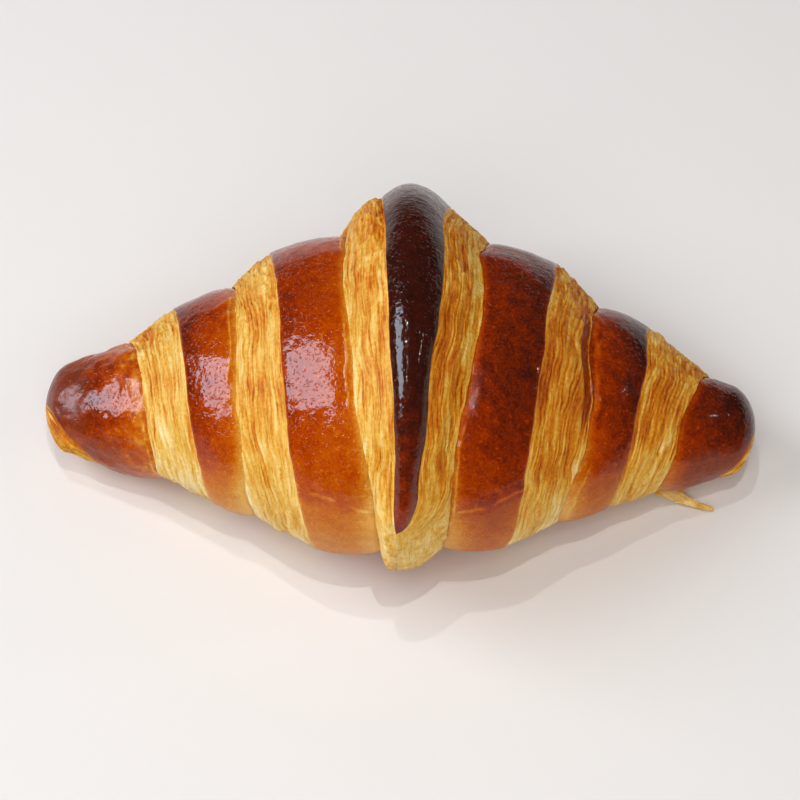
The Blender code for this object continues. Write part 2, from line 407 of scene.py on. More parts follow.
def lip(side, turn):
    """How far the first cut layer lies below the skin's edge."""
    return (LIP[side] + local_change(LIP_DEEPER[side], turn)) * tongue_share(turn)


def waves(side, turn, u):
    """How far the layers of dough wander across the cut, at u from the skin's edge."""
    s = along_side(side, turn)
    return sum(
        far * noise(stacked(u / over, s / down), seed) for far, over, down, seed in LAYER_WAVES
    )


def layers(side, turn, u):
    """Number of the layer of dough at u from the skin's edge, the share across it, and length."""
    layer = (u + waves(side, turn, u)) / LAYER_PITCH
    number = np.floor(layer)
    return number, layer - number, along_side(side, turn)


def foot_leaf(side, turn, u, width):
    """1 on the thin leaf along the foot of the tongue's layers, with a frilly edge."""
    s = along(turn)
    frill = 0.35 * noise(stacked(s / 1.6), 51) + 0.3 * noise(stacked(s / 5.0), 52)
    reach = LEAF_WIDTH[side] - frill
    inside = smooth_step(-0.12, 0.12, u - (width - reach))
    return inside * hill(turn, *FOOT_LEAF)


def glaze(side, turn, inwards):
    """1 on the strip of the second cut's foot, on the right, that the egg wash has run over."""
    across = smooth_step(2.1, 1.5, inwards) * smooth_step(0.2, 0.5, inwards)
    return (side > 0) * hill(turn, *GLAZED) * across


def layer_relief(side, turn, width, t):
    """Height of the cut layers: overlapping sheets along the roll, with splits and torn spots."""
    u = width * t
    number, share, s = layers(side, turn, u)
    strength = 0.6 + 0.4 * noise(stacked(number * 0.7, s / 9.0), 42)
    sheet = (np.sqrt(np.maximum(4 * share * (1 - share), 0)) - 0.7) * strength
    streak = noise(stacked(u / 0.42, s / 3.2), 47)
    grain = noise(stacked(u / 0.5, s / 0.9), 43)
    swell = noise(stacked(u / 3.0, s / 9.0), 44)
    torn = rough_noise(stacked(u / 0.9, s / 1.6), 45)
    torn = torn * (1 + local_change(TORN_BACK, facing(turn)))
    split = smooth_step(0.45, 0.7, noise(stacked(u / 0.9, s / 8.0), 46))
    rows = SHEET_HEIGHT * sheet + STREAK_HEIGHT * streak + GRAIN_HEIGHT * grain
    rows = rows + SWELL_HEIGHT * swell + TORN_HEIGHT * torn - SPLIT_DEPTH * split
    ripple = 0.12 * np.sin(s * 5.2 + 3 * noise(stacked(s / 3.0, u / 1.5), 55))
    rows = rows + foot_leaf(side, turn, u, width) * (ripple - 0.55 - 0.4 * rows)
    bubbly = 0.25 * rough_noise(stacked(u / 0.6, s / 0.8), 56, 2) - 0.35
    rows = rows + glaze(side, turn, width - u) * bubbly
    place = stacked(side * u, along(turn))
    crumbly = 0.30 * rough_noise(place / 2.6, 53, 4) + 0.16 * rough_noise(place / 0.7, 54, 2)
    return crumbly + (rows - crumbly) * smooth_step(34, 62, turn)


def skin_relief(points):
    """Low swells, dimples and fine wrinkles of the baked skin, from points in millimetres."""
    swell = rough_noise(points / 15.0, 61, 2)
    dimple = noise(points / 5.0, 62)
    fine = rough_noise(points / 1.4, 63, 2)
    peel = noise(points / 2.6, 64)
    on_horn = smooth_step(0.62 * HALF, 0.78 * HALF, np.abs(points[..., 0]))
    pitted = on_horn * (points[..., 0] < 0)
    on_tongue = smooth_step(10.0, 7.0, np.abs(points[..., 0]))
    dimples = (0.07 + 0.16 * on_horn + 0.12 * pitted) * dimple
    wrinkled = (0.055 + 0.18 * pitted) * peel + (0.030 + 0.07 * pitted + 0.02 * on_tongue) * fine
    return 0.26 * swell + dimples + wrinkled


# ---------------- browning, with some painted shade, light and highlights
# Browning goes from 0, pale, to 1, black. The tuples have one value for each full turn: the
# tongue, then the skins or cuts from the middle out to the horn.
BAND_BROWN = {-1: (0.93, 0.62, 0.63, 0.79, 0.79), 1: (0.93, 0.78, 0.76, 0.82, 0.83)}
EDGE_BROWN = {-1: (0.0, 0.10, 0.15, 0.03, 0.03), 1: (0.0, 0.06, 0.11, 0.05, 0.05)}
BAND_BLEND = (0.42, 0.58)  # share of a full turn over which one band's value turns into the next's
# Angle at which the egg wash ends on the front, on each band's inner side and at its edge
WASH_END = {
    -1: ((0, 16, 22, 24, 24), (0, 27, 30, 40, 40)),
    1: ((0, 14, 24, 29, 29), (0, 25, 33, 40, 40)),
}
WASH_WAVE = 1.2
# Angles round the section over which a skin or a cut stops being low on the front, and gets high
SKIN_LOW = (-5.0, 48.0)
SKIN_HIGH = (40.0, 120.0)
CUT_LOW = (-12.0, 72.0)
CUT_HIGH = (60.0, 115.0)
# The skins: how much browner or paler
SKIN_BLOTCHES = 0.05
SKIN_BROWNER_HIGH = 0.035
SKIN_PALER_LOW = 0.06
SKIN_PALER_FRONT = ((-20.0, 50.0, 16.0, 0.08),)  # first angle, last angle, softness, how much
BARE_PALER = 0.10
BARE_PALER_DOWN = 0.12
PALE_FOOT = 0.22
PALE_FOOT_LOW = 0.14
PALE_EDGE = 0.14
PALE_CRACK = 0.26
PALE_LEAF = 0.25
# painted highlight along the crease ridges
CREASE_HIGHLIGHT = 0.12
PALE_HORN = 0.35  # on the inner part of the left horn
PALE_HORN_SPECKS = 0.55
GLAZED_STRANDS = 0.16
GLAZED_PALER = 0.03
UNDERSIDE_BROWN = 0.36
# The horns' share of what makes the other skins bare, paler where bare, and paler in front
HORN_BARE = 0.6
HORN_BARE_PALER = 0.35
HORN_FRONT_PALER = 0.3
TONGUE_PALER_TIP = 0.19
TONGUE_PALER_BEHIND = 0.06
TONGUE_BLOTCHES = 0.02
# The cut layers: how much browner or paler
CUT_BROWN = {-1: (0.54, 0.48, 0.43, 0.60), 1: (0.66, 0.71, 0.67, 0.70)}
# on top: browner on the left from baking; paler on the right, a painted sheen
CUT_TOP_BROWNING_AND_SHEEN = {-1: 0.03, 1: -0.07}
# paler low on the front: partly less baked dough, partly painted light standing in for light from the
# front
CUT_UNDERBAKED_AND_LIT_LOW = {-1: (0.22, 0.22, 0.22, 0.04), 1: (0.17, 0.44, 0.28, 0.13)}
CUT_EACH_LAYER = 0.13
CUT_STREAKY = 0.08
CUT_PATCHY = 0.07
# painted shade: darker lines along the creases between layers
CUT_SEAM_SHADE = 0.20
# painted shade: the cut's low places are darker and its raised layers paler
CUT_GROOVE_SHADE = 0.20
CUT_PALE_RIM = 0.12
CUT_PALE_FOOT = 0.16
CUT_PALE_LEAF = 0.20
CUT_GLAZED = 0.5
CUT_UNDERSIDE = 0.12
FLAP_BROWN = 0.31
# random tone on the flap, plus painted shade: its low places darker and raised ones paler
FLAP_MOTTLE_AND_SHADE = 0.12
# How dull the skin is without egg wash: at the back, below, on the pale patch and the left tip
DULL_BACK = 0.8
DULL_BELOW = 0.6
DULL_PALE_HORN = 0.8
DULL_LEFT_TIP = 0.55


def per_band(values, turn):
    """One value for each full turn, blended underneath, where the bands pass into each other."""
    place = np.clip((turn - BELOW) / 360 + 0.5, 0, len(values) - 1.001)
    i = np.floor(place).astype(int)
    blend = smooth_step(*BAND_BLEND, place - i)
    values = np.asarray(values, float)
    return values[i] + (values[i + 1] - values[i]) * blend


def below_wash(side, turn, x, share):
    """Degrees that a place lies below the end of the egg wash on the front."""
    wave = WASH_WAVE * rough_noise(stacked(x / 4.0), 75)
    start, end = (per_band(values, turn) for values in WASH_END[side])
    return start + (end - start) * share + wave - facing(turn)


def bare_skin(turn, below):
    """1 where the skin on the front has no egg wash."""
    softer = np.where(turn > SECOND_SKIN, 8.0, 0.0)
    bare = smooth_step(-1.0 - softer, 7.0 + softer, below) * (facing(turn) < 90)
    return bare * np.where(turn > HORN_SKIN, HORN_BARE, 1.0)


def wash_crack(turn, x, share, below):
    """1 on the fine pale cracks along the end of the egg wash on the first skins."""
    crack = np.exp(-((below / 0.75) ** 2)) * smooth_step(0.04, 0.12, share) * (facing(turn) < 90)
    return crack * smooth_step(-0.8, -0.2, noise(stacked(x / 4.0), 76)) * (turn < SECOND_SKIN)


def pale_patch(side, turn, inwards, points):
    """Paleness of the ragged patch on the left horn, beside the last cut."""
    reach = 6.5 + 3.0 * smooth_step(*SKIN_HIGH, facing(turn))
    ragged = np.maximum(inwards + 3.0 * rough_noise(points / 2.4, 74, 4), 0)
    there = (side < 0) * smooth_step(1000, 1060, turn)
    return PALE_HORN * there * np.exp(-((ragged / reach) ** 2))


def tongue_browning(turn, brown, blotch):
    """Browning of the tongue's skin, which is paler towards its tip."""
    tip = 1 - smooth_step(38, 100, turn)
    back = smooth_step(115, 150, facing(turn))
    tone = brown - TONGUE_PALER_TIP * tip + TONGUE_BLOTCHES * blotch
    return tone - TONGUE_PALER_BEHIND * (underside(turn) + back)


def skin_browning_and_highlight(side, turn, x, points):
    """Browning, dullness and wrinkling of the skin, with a painted highlight along its creases."""
    edge = skin_edge(side, turn)
    inner = np.where(turn < 360, 0.0, cut_foot(side, np.maximum(turn - 360, 0)))
    share = np.clip((x - inner) / np.maximum(edge - inner, 0.1), 0, 1)
    inwards = np.maximum(x - inner, 0)
    outwards = np.maximum(edge - x, 0)
    angle = facing(turn)
    low = 1 - smooth_step(*SKIN_LOW, angle)
    high = smooth_step(*SKIN_HIGH, angle)
    bottom = underside(turn)
    inland = smooth_step(1.0, 8.0, HALF - x)
    blotch = rough_noise(points / 11.0, 71, 3)
    brown = per_band(BAND_BROWN[side], turn)
    slope = per_band(EDGE_BROWN[side], turn)
    below = below_wash(side, turn, x, share)
    bare = bare_skin(turn, below)
    pale_horn = pale_patch(side, turn, inwards, points)

    arm = brown + slope * (2 * share - 1) * (1 - low)
    arm = arm + SKIN_BROWNER_HIGH * high + SKIN_BLOTCHES * blotch
    paling = SKIN_PALER_LOW * low + local_change(SKIN_PALER_FRONT, angle)
    arm = arm - paling * np.where(turn > HORN_SKIN, HORN_FRONT_PALER, 1.0)
    paling = BARE_PALER + BARE_PALER_DOWN * smooth_step(0, 40, below)
    arm = arm - bare * paling * np.where(turn > HORN_SKIN, HORN_BARE_PALER, 1.0)
    glazed = (side > 0) * hill(turn - 360, *GLAZED) * smooth_step(3.0, 2.2, inwards)
    near_foot = np.exp(-((inwards / (1.0 + 3.6 * low)) ** 2))
    pale_foot = near_foot * (PALE_FOOT + PALE_FOOT_LOW * low)
    arm = arm - np.maximum(pale_foot * (1 - glazed), pale_horn)
    arm = arm - PALE_HORN_SPECKS * pale_horn * noise(points / 0.8, 87)
    near_edge = 1.6 * np.exp(-outwards / 0.22) + 0.8 * bare * np.exp(-outwards / 1.5)
    arm = arm - PALE_EDGE * near_edge - PALE_CRACK * wash_crack(turn, x, share, below)
    arm = arm - PALE_LEAF * leaf_line(side, turn, inwards)
    # painted highlight on the creases' ridges
    arm = arm - CREASE_HIGHLIGHT * crease(side, turn, inwards)
    strands = rough_noise(stacked(inwards / 0.7, along(turn) / 4.0), 86, 2)
    arm = arm + (GLAZED_STRANDS * strands - GLAZED_PALER) * glazed
    near_tip = (brown - 0.12 - UNDERSIDE_BROWN) * (1 - inland)
    arm = arm + (UNDERSIDE_BROWN + near_tip + 0.06 * blotch - arm) * bottom
    covered = smooth_step(285, 310, turn)
    tongue = tongue_browning(turn, brown, blotch)
    tone = tongue + (arm - tongue) * covered

    dull = np.maximum(bare * covered, DULL_BACK * smooth_step(172, 196, angle))
    dull = dull + (DULL_BELOW + (1 - DULL_BELOW) * inland - dull) * bottom
    dull = np.maximum(dull, DULL_PALE_HORN * pale_horn)
    left_tip = (side < 0) * smooth_step(HALF - 13.0, HALF - 8.0, x)
    dull = np.maximum(dull, DULL_LEFT_TIP * left_tip)

    first = np.where(turn < 300, 98.0, 122.0)
    wrinkle = smooth_step(first - 18, first + 25, angle) * (1 - bottom) * (angle < 200)
    return tone, dull, wrinkle


def cut_browning_and_shade(side, turn, u, relief):
    """Browning of the cut layers. It also paints shade into their seams, grooves and tuck, paints
    light low on the front, and paints a sheen on the right tops.
    """
    number, share, s = layers(side, turn, u)
    width = cut_width(side, turn)
    angle = facing(turn)
    low = 1 - smooth_step(*CUT_LOW, angle)
    high = smooth_step(*CUT_HIGH, angle)
    each = noise(stacked(number * 0.83, s / 12.0), 83)
    streak = rough_noise(stacked(u / 0.6, s / 7.0), 81, 3)
    patch = rough_noise(stacked(u / 4.0, s / 6.0), 82, 2)
    # the seam lies in the crease between two layers and is painted darker as shade
    shaded_seam = np.exp(-((np.minimum(share, 1 - share) / 0.15) ** 2))
    shaded_seam = shaded_seam * smooth_step(-0.3, 0.5, noise(stacked(number * 0.6, s / 8.0), 84))
    tone = per_band(CUT_BROWN[side], turn) + CUT_EACH_LAYER * each
    tone = tone + CUT_STREAKY * streak + CUT_PATCHY * patch
    # painted shade: darker in the seams between layers and in low places, paler on raised layers
    tone = tone + CUT_SEAM_SHADE * shaded_seam - CUT_GROOVE_SHADE * relief
    # paler low on the front, partly painted light; on the right the tops are paler, a painted sheen
    tone = tone - per_band(CUT_UNDERBAKED_AND_LIT_LOW[side], turn) * low + CUT_TOP_BROWNING_AND_SHEEN[side] * high
    rim = np.exp(-u / 0.3)
    foot = np.exp(-np.maximum(width - u, 0) / 1.2) * (0.4 + 0.6 * low)
    tone = tone - CUT_PALE_RIM * rim - CUT_PALE_FOOT * foot
    tone = tone - CUT_PALE_LEAF * foot_leaf(side, turn, u, width)
    crumbs = rough_noise(stacked(side * u / 1.1, along(turn) / 1.1), 85)
    # random crumb tone, plus painted shade from the relief
    flap = FLAP_BROWN + FLAP_MOTTLE_AND_SHADE * (crumbs - relief)
    tone = flap + (tone - flap) * smooth_step(30, 60, turn)
    return tone + CUT_GLAZED * glaze(side, turn, width - u) + CUT_UNDERSIDE * underside(turn)


class Turn:
    """Grid of one turn: rows along the roll, and columns across it, in a closed loop."""

    def __init__(self, turns):
        self.turns = turns[:, None]
        self.kinds = []
        self.fields = {"x": [], "rise": [], "across": [], "relief": []}

    def add(self, kind, **fields):
        shape = np.broadcast_shapes(self.turns.shape, *(np.shape(f) for f in fields.values()))
        self.kinds += [kind] * shape[1]
        for key, columns in self.fields.items():
            columns.append(np.broadcast_to(fields.get(key, 0.0), shape))

    def field(self, key):
        return np.concatenate(self.fields[key], axis=1)


def towards_ends(columns):
    """Numbers from 0 to 1, closer together near both ends."""
    t = np.linspace(0, 1, columns)[None, :]
    return t - ENDS_CLOSER * np.sin(2 * math.pi * t) / (2 * math.pi)


def add_skin(grid, side, inner, columns):
    """The skin from a distance inner out to its edge."""
    edge = skin_edge(side, grid.turns)
    x = inner + (edge - inner) * towards_ends(columns)
    grid.add(SKIN, x=side * x, rise=skin_rise(side, grid.turns, x), across=x - edge)


def add_cut(grid, side, columns, inwards=False):
    """The cut layers from the skin's edge down to their foot, and the tuck below it.

    With inwards, the columns run the other way, from the tuck in to the skin's edge.
    """
    turns = grid.turns
    edge = skin_edge(side, turns)
    foot = cut_foot(side, turns)
    width = cut_width(side, turns)
    crest = skin_rise(side, turns, edge)
    valley = foot_rise(side, turns)
    fade = np.minimum(width / NARROW_CUT, 1.0)
    t = np.linspace(0, 1, columns)[None, :]
    flap = 1 - smooth_step(*FLAP_ENDS, turns)
    steepness = 1 + FLAP_STEEPER[side] * flap
    start = crest - lip(side, turns) * fade
    relief = layer_relief(side, turns, width, t) * fade
    relief = relief * np.maximum(smooth_step(0, 0.06, t + 0.01), 1 - tongue_share(turns))
    knobs = rough_noise(stacked(along(turns) / 2.6, width * t / 2.0), 58, 2)
    knobs = knobs * local_change(CUT_KNOBBLY, turns) * np.sin(math.pi * t)
    relief = relief + knobs * smooth_step(0, 1.2, width)
    rise = start + (valley + FOOT_LIP * fade - start) * t**steepness
    shoulder = CUT_BULGE + local_change(CUT_FULLER[side], turns)
    rise = rise + shoulder * fade * 4 * t * (1 - t) * tongue_share(turns) + relief
    gap = LIP_GAP * fade * tongue_share(turns)
    x = edge + gap + (width - gap) * t
    tuck = np.array(TUCK)
    tuck_x = foot - fade * tuck[None, :, 0]
    tuck_rise = valley + fade * tuck[None, :, 1]
    x = np.concatenate([x, tuck_x], axis=1)
    rise = np.concatenate([rise, tuck_rise], axis=1)
    # the tuck's relief value only darkens its colour: painted shade under the foot
    relief = np.concatenate([relief, np.broadcast_to(TUCK_SHADE, tuck_x.shape)], axis=1)
    step = -1 if inwards else 1
    fields = {"x": side * x, "rise": rise, "across": x - edge, "relief": relief}
    grid.add(CUT, **{key: values[:, ::step] for key, values in fields.items()})


def add_inner_wall(grid, start, end, columns=6):
    """The hidden inner side of a turn, from x = start back to x = end."""
    t = np.linspace(0, 1, columns)[None, :]
    grid.add(HIDDEN, x=start + (end - start) * t, rise=-WALL, across=WALL_ACROSS)


def by_side(function, turn, x, *others):
    """A function of the side, the turn and the distance, for places on both sides."""
    left = function(-1, turn, np.maximum(-x, 0), *others)
    right = function(1, turn, np.maximum(x, 0), *others)
    if isinstance(left, tuple):
        return tuple(np.where(x < 0, a, b) for a, b in zip(left, right))
    return np.where(x < 0, left, right)


def piece_mesh(name, grid, shift):
    """Turns a grid into a closed mesh with what its materials read."""
    kinds = np.array(grid.kinds)
    x, rise, across, relief = (grid.field(key) for key in ("x", "rise", "across", "relief"))
    turn = np.broadcast_to(grid.turns, x.shape)
    ragged = FLAP_TORN * (rough_noise(stacked(x / 2.4), 57) + FLAP_SLANT * np.maximum(x, 0))
    turn = turn + ragged * (1 - smooth_step(*FLAP_TORN_ENDS, turn))
    smooth = surface(x, turn, rise)
    is_skin = (kinds == SKIN)[None, :]
    calm_tip = smooth_step(0.0, CALM_TIP, HALF - np.abs(x))
    points = surface(x, turn, rise + skin_relief(smooth) * is_skin * calm_tip)
    points[..., 0] -= LEFT_REACH * smooth_step(LEFT_REACH_FROM * HALF, HALF, -x)

    tone, dull, wrinkle = by_side(skin_browning_and_highlight, turn, x, smooth)
    cut_tone = np.where(
        x < 0,
        cut_browning_and_shade(-1, turn, across, relief),
        cut_browning_and_shade(1, turn, across, relief),
    )
    tone = np.where(is_skin, tone, cut_tone)
    glazed = glaze(np.sign(x), turn, cut_width(1, turn) - across)
    dull = np.where(is_skin, dull, 1 - glazed)
    streaky = 1 - FAINTER_LOW * (1 - smooth_step(-15, 50, facing(turn)))
    texture = np.where(is_skin, wrinkle, streaky)

    wander = np.where(x < 0, waves(-1, turn, across), waves(1, turn, across))
    across = across + np.where((kinds == CUT)[None, :], wander, 0.0)

    both_skin = (kinds == SKIN) & (np.roll(kinds, -1) == SKIN)
    mesh = grid_mesh(name, points, shift, np.where(both_skin, 0, 1))
    fields = {"tone": tone, "dull": dull, "texture": texture, "across": across}
    add_fields(mesh, x.shape, along=along(turn), **fields)
    return mesh


def grid_mesh(name, points, shift, slots):
    """A closed mesh of rows of points, each row a loop, with a material slot for each column."""
    rows, columns = points.shape[:2]
    index = np.arange(rows * columns).reshape(rows, columns)
    right = np.roll(index, -1, axis=1)
    quads = np.stack([index[:-1], right[:-1], right[1:], index[1:]], axis=-1).reshape(-1, 4)
    caps = [index[0][::-1].tolist(), index[-1].tolist()]
    co = (points.reshape(-1, 3) + shift) * MM
    mesh = bpy.data.meshes.new(name)
    mesh.from_pydata(co.tolist(), [], quads.tolist() + caps)
    slots = np.append(np.tile(slots, rows - 1), [1, 1])
    mesh.polygons.foreach_set("material_index", slots.astype(np.int32))
    mesh.shade_smooth()
    mesh.update()
    return mesh


def add_fields(mesh, shape, **fields):
    """Stores a number at each point, which the materials read by name."""
    for key, values in fields.items():
        layer = mesh.attributes.new(key, "FLOAT", "POINT")
        values = np.broadcast_to(values, shape)
        layer.data.foreach_set("value", np.ascontiguousarray(values, np.float32).ravel())


def build_tongue(shift):
    length = along(np.array(TONGUE_LAST))
    turns = np.linspace(0.0, TONGUE_LAST, int(length / TONGUE_ROW))
    grid = Turn(turns)
    left_columns, skin_columns, right_columns = TONGUE_COLUMNS
    add_cut(grid, -1, left_columns, inwards=True)
    left = -skin_edge(-1, grid.turns)
    right = skin_edge(1, grid.turns)
    x = left + (right - left) * towards_ends(skin_columns)
    rise = by_side(skin_rise, grid.turns, x)
    grid.add(SKIN, x=x, rise=rise, across=-np.minimum(x - left, right - x))
    add_cut(grid, 1, right_columns)
    tuck = TUCK[-1][0]
    add_inner_wall(grid, cut_foot(1, grid.turns) - tuck, tuck - cut_foot(-1, grid.turns))
    return piece_mesh("tongue", grid, shift)


# The thread of dough that sticks out from under the front: centres, half widths, half thickness
FLAKE_PATH = ((48, -3, 4.6), (57, -9, 2.9), (64, -12.8, 1.8), (69, -15.2, 1.2), (73.6, -16.4, 0.9))
FLAKE_HALF_WIDTHS = (4.0, 3.6, 2.3, 0.8, 0.5)
FLAKE_HALF_THICKNESS = 0.6
FLAKE_TIP = (0.9, 0.75, 0.4)  # how much narrower its last three rows are
FLAKE_SMOOTHINGS = 6
FLAKE_LOWEST = 0.02
FLAKE_BROWN = 0.20
FLAKE_STRETCH = 7.0  # millimetres of streaks between two centres


def build_flake(shift, rows=90, around=48):
    place = np.linspace(0, len(FLAKE_PATH) - 1, rows)
    stations = np.arange(len(FLAKE_PATH))
    path = np.array(FLAKE_PATH, float)
    centre = np.stack([np.interp(place, stations, path[:, k]) for k in range(3)], axis=-1)
    for _ in range(FLAKE_SMOOTHINGS):
        centre[1:-1] = (centre[:-2] + 2 * centre[1:-1] + centre[2:]) / 4
    half_width = np.interp(place, stations, FLAKE_HALF_WIDTHS)
    half_width = half_width * (1 + 0.18 * rough_noise(stacked(place * 6.0), 91))
    half_width[-len(FLAKE_TIP):] *= FLAKE_TIP
    heading = np.gradient(centre, axis=0)
    across = np.cross(heading, (0, 0, 1.0))
    across /= np.linalg.norm(across, axis=-1, keepdims=True)
    angle = np.linspace(0, 2 * math.pi, around, endpoint=False)
    over = np.cos(angle)[None, :, None] * (across * half_width[:, None])[:, None, :]
    points = centre[:, None, :] + over
    points[..., 2] += np.sin(angle) * FLAKE_HALF_THICKNESS + 0.22 * rough_noise(points / 1.3, 92)
    points[..., 2] = np.maximum(points[..., 2], FLAKE_LOWEST)
    mesh = grid_mesh("flake", points, shift, np.ones(around, int))
    tone = FLAKE_BROWN + 0.16 * rough_noise(points / 2.0, 93)
    fields = {"tone": tone, "dull": 1.0, "texture": 1.0, "across": over[..., 0]}
    add_fields(mesh, points.shape[:2], along=place[:, None] * FLAKE_STRETCH, **fields)
    return mesh


def build_arm(name, side, first, last, spacing, skin_columns, cut_columns, shift):
    length = along(np.array(last)) - along(np.array(first))
    turns = np.linspace(first, last, int(length / spacing))
    if side < 0:
        turns = turns[::-1]
    grid = Turn(turns)
    middle = 0.5 * (skin_edge(1, grid.turns) - skin_edge(-1, grid.turns)) * side
    under = cut_foot(side, np.maximum(grid.turns - 360, 0.0)) - UNDERLAP
    inner = middle + (under - middle) * smooth_step(*ARM_PARTS, grid.turns)
    inner = np.minimum(inner, skin_edge(side, grid.turns) - LEAST_SKIN)
    add_skin(grid, side, inner, skin_columns)
    add_cut(grid, side, cut_columns)
    add_inner_wall(grid, side * (cut_foot(side, grid.turns) - TUCK[-1][0]), side * inner)
    return piece_mesh(name, grid, shift)


# ---------------- materials
def linear(color):
    """A colour given as seen on screen, 0 to 255, as the shader wants it."""
    share = np.asarray(color, float) / 255
    return np.where(share <= 0.04045, share / 12.92, ((share + 0.055) / 1.055) ** 2.4)


SKIN_COLORS = (
    (0.00, (236, 192, 104)),
    (0.18, (214, 148, 52)),
    (0.33, (198, 112, 20)),
    (0.46, (184, 82, 2)),
    (0.58, (166, 59, 0)),
    (0.70, (138, 41, 1)),
    (0.80, (106, 31, 5)),
    (0.90, (62, 21, 11)),
    (1.00, (36, 12, 8)),
)
BARE_COLORS = (
    (0.00, (230, 176, 84)),
    (0.25, (211, 131, 30)),
    (0.40, (196, 103, 10)),
    (0.55, (173, 78, 4)),
    (0.75, (134, 58, 26)),
    (1.00, (88, 44, 34)),
)
CUT_COLORS = (
    (0.00, (252, 232, 180)),
    (0.20, (243, 209, 128)),
    (0.42, (230, 177, 68)),
    (0.65, (212, 128, 8)),
    (0.84, (184, 88, 0)),
    (1.00, (140, 54, 0)),
)


class Nodes:
    """Short ways to add nodes to a material."""

    def __init__(self, name):
        self.material = bpy.data.materials.new(name)
        self.material.use_nodes = True
        self.tree = self.material.node_tree
        self.shader = self.tree.nodes["Principled BSDF"]

    def add(self, kind, inputs=(), **settings):
        node = self.tree.nodes.new(kind)
        for key, value in settings.items():
            setattr(node, key, value)
        for key, value in dict(inputs).items():
            self.put(value, node.inputs[key])
        return node

    def put(self, value, socket):
        if isinstance(value, bpy.types.NodeSocket):
            self.tree.links.new(value, socket)
        else:
            socket.default_value = value

    def math(self, operation, first, second=0.0, clamp=False):
        node = self.add("ShaderNodeMath", {0: first, 1: second}, operation=operation)
        node.use_clamp = clamp
        return node.outputs[0]

    def value(self, name):
        return self.add("ShaderNodeAttribute", attribute_name=name).outputs["Fac"]

    def vector(self, x, y, z=0.0):
        return self.add("ShaderNodeCombineXYZ", {0: x, 1: y, 2: z}).outputs[0]

    def noise(self, vector, scale, detail=2.0, roughness=0.5):
        inputs = {"Vector": vector, "Scale": scale, "Detail": detail, "Roughness": roughness}
        return self.add("ShaderNodeTexNoise", inputs).outputs["Fac"]

    def span(self, value, low, high, to_low=0.0, to_high=1.0):
        inputs = {"Value": value, 1: low, 2: high, 3: to_low, 4: to_high}
        return self.add("ShaderNodeMapRange", inputs, clamp=True).outputs[0]

    def colors(self, value, stops):
        node = self.add("ShaderNodeValToRGB", {"Fac": value})
        elements = node.color_ramp.elements
        while len(elements) < len(stops):
            elements.new(1.0)
        for element, (place, color) in zip(elements, stops):
            element.position = place
            element.color = (*linear(color), 1.0)
        return node.outputs["Color"]

    def mix(self, share, first, second):
        node = self.add("ShaderNodeMix", data_type="RGBA")
        self.put(share, node.inputs[0])
        self.put(first, node.inputs[6])
        self.put(second, node.inputs[7])
        return node.outputs[2]

    def bump(self, height, distance, strength=1.0, normal=None):
        inputs = {"Height": height, "Distance": distance, "Strength": strength}
        if normal is not None:
            inputs["Normal"] = normal
        return self.add("ShaderNodeBump", inputs).outputs["Normal"]


GLAZE_ROUGHNESS = 0.06
DULL_ROUGHER = 0.40
SKIN_IOR = 1.35
CUT_IOR = 1.28
# How much browner and paler the fine patterns make a place
SKIN_MOTTLE = 0.07
SKIN_SPECKLE = 0.065
BUBBLES_PALER = 0.12
CUT_GRAIN = 0.08
# Streaks of the cut layers: how many for each mm across and along, and how much browner or paler
CUT_STREAKS = ((1.1, 0.07, 0.15), (2.6, 0.17, 0.11))


def skin_material():
    nodes = Nodes("browned_skin")
    place = nodes.add("ShaderNodeTexCoord").outputs["Object"]
    tone = nodes.value("tone")
    dull = nodes.value("dull")
    mottle = nodes.noise(place, 380.0, detail=4.0, roughness=0.6)
    grain = nodes.noise(place, 1700.0, detail=3.0, roughness=0.6)
    bubbles = nodes.span(nodes.noise(place, 1100.0, detail=1.0), 0.64, 0.72)
    calm = nodes.span(tone, 0.80, 0.90, 1.0, 0.45)
    mottled = nodes.span(mottle, 0.3, 0.7, -SKIN_MOTTLE, SKIN_MOTTLE)
    tone = nodes.math("ADD", tone, nodes.math("MULTIPLY", mottled, calm))
    speckled = nodes.span(grain, 0.32, 0.68, -SKIN_SPECKLE, SKIN_SPECKLE)
    tone = nodes.math("ADD", tone, nodes.math("MULTIPLY", speckled, calm))
    bubbled = nodes.math("MULTIPLY", nodes.math("MULTIPLY", bubbles, BUBBLES_PALER), calm)
    tone = nodes.math("SUBTRACT", tone, bubbled, clamp=True)
    washed = nodes.colors(tone, SKIN_COLORS)
    bare = nodes.colors(tone, BARE_COLORS)
    color = nodes.mix(dull, washed, bare)
    nodes.put(color, nodes.shader.inputs["Base Color"])
    roughness = nodes.math("ADD", GLAZE_ROUGHNESS, nodes.math("MULTIPLY", dull, DULL_ROUGHER))
    nodes.put(roughness, nodes.shader.inputs["Roughness"])
    stretched = nodes.vector(
        nodes.math("MULTIPLY", nodes.value("across"), 0.55),
        nodes.math("MULTIPLY", nodes.value("along"), 1.5),
    )
    folds = nodes.noise(stretched, 1.0, detail=3.0, roughness=0.6)
    wrinkles = nodes.math("MULTIPLY", folds, nodes.value("texture"))
    folded = nodes.bump(wrinkles, distance=0.0003, strength=0.5)
    pits = nodes.span(nodes.noise(place, 1200.0), 0.33, 0.42)
    pitted = nodes.bump(pits, distance=0.00005, normal=folded)
    peel = nodes.bump(nodes.noise(place, 520.0), distance=0.00015, normal=pitted)
    nodes.put(peel, nodes.shader.inputs["Normal"])
    nodes.shader.inputs["IOR"].default_value = SKIN_IOR
    return nodes.material


